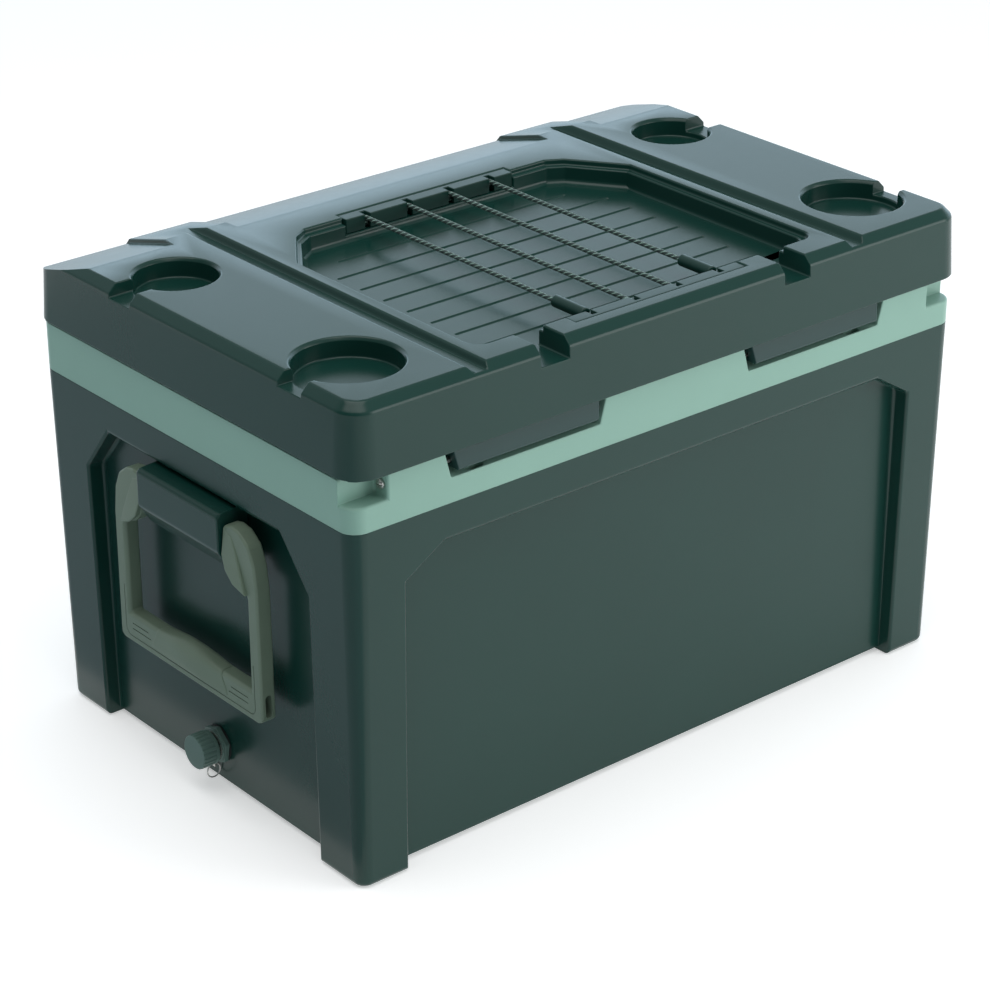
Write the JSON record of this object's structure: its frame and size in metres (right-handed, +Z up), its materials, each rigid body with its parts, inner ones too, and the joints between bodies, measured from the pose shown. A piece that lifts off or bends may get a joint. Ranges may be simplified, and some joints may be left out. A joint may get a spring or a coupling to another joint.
{
  "type": "hard cooler",
  "caption": "Insulated hard cooler on moulded corner feet with hinged lid, cup holders, corded lid tray, pull latches, bail handles and a screw-capped drain.",
  "frame": {"origin": "centre of the base on the ground", "axes": "+X along the length away from the drain end, -Y towards the latches, +Y towards the hinge, +Z up"},
  "size_m": [0.724, 0.465, 0.4454],
  "materials": {
    "green_plastic": "satin",
    "sage_plastic": "satin",
    "olive_plastic": "satin",
    "olive_grip": "matte",
    "cap_plastic": "satin",
    "liner_plastic": "satin",
    "foam": "matte",
    "steel": "brushed",
    "seal_rubber": "matte",
    "cord": "woven"
  },
  "bodies": {
    "chest": {"outer_shell": "green_plastic", "inner_liner": "liner_plastic", "chest_foam": "foam", "top_collar": "sage_plastic", "hinge_pins": "steel", "latch_rods": "steel", "latch_springs": "steel", "handle_mount_left": "green_plastic", "handle_mount_right": "green_plastic", "handle_pins": "steel", "handle_plates": "steel", "handle_screws": "steel", "drain_spout": "cap_plastic", "drain_washer": "seal_rubber", "drain_nut": "cap_plastic", "tether_ring": "steel"},
    "lid": {"lid_shell": "green_plastic", "lid_liner": "liner_plastic", "lid_foam": "foam", "lid_gasket": "seal_rubber", "hinge_knuckles": "green_plastic", "hinge_screws": "steel", "latch_catches": "sage_plastic", "bungee_bar_rear": "green_plastic", "bungee_bar_front": "green_plastic", "bungee_cord": "cord", "cord_clamps": "green_plastic"},
    "latch_left": {"latch_flap_left": "green_plastic"},
    "latch_right": {"latch_flap_right": "green_plastic"},
    "handle_left": {"bail_left": "olive_plastic", "grip_left": "olive_grip"},
    "handle_right": {"bail_right": "olive_plastic", "grip_right": "olive_grip"},
    "cap_seal": {"drain_cap_seal": "seal_rubber"},
    "cap": {"drain_cap": "cap_plastic"},
    "tether": {"tether_loop": "steel"}
  },
  "joints": [
    {"name": "lid_hinge", "type": "hinge", "parent": "chest", "child": "lid", "pos_m": [0, 0.216, 0.366], "axis": [-1, 0, 0], "range_deg": [0, 98]},
    {"name": "latch_left_pull", "type": "hinge", "parent": "chest", "child": "latch_left", "pos_m": [-0.1657, -0.218, 0.3675], "axis": [-1, 0, 0], "range_deg": [0, 25], "stiffness_Nm_per_rad": 0.25, "springref_deg": -14.32},
    {"name": "latch_right_pull", "type": "hinge", "parent": "chest", "child": "latch_right", "pos_m": [0.1657, -0.218, 0.3675], "axis": [-1, 0, 0], "range_deg": [0, 25], "stiffness_Nm_per_rad": 0.25, "springref_deg": -14.32},
    {"name": "handle_left_swing", "type": "hinge", "parent": "chest", "child": "handle_left", "pos_m": [-0.35, 0, 0.272], "axis": [0, 1, 0], "range_deg": [0, 105]},
    {"name": "handle_right_swing", "type": "hinge", "parent": "chest", "child": "handle_right", "pos_m": [0.35, 0, 0.272], "axis": [0, -1, 0], "range_deg": [0, 105]},
    {"name": "drain_cap_travel", "type": "slide", "parent": "chest", "child": "cap_seal", "axis": [-1, 0, 0], "range_m": [0, 0.016]},
    {"name": "drain_cap_turn", "type": "hinge", "parent": "cap_seal", "child": "cap", "pos_m": [-0.34, 0, 0.0395], "axis": [-1, 0, 0], "range_deg": [0, 1440]},
    {"name": "tether_swing", "type": "hinge", "parent": "chest", "child": "tether", "pos_m": [-0.3371, 0, 0.0212], "axis": [1, 0, 0], "range_deg": [-40, 40]}
  ],
  "couplings": [
    {"joint": "drain_cap_turn", "follows": "drain_cap_travel", "rad_per_m": 1570.8}
  ]
}
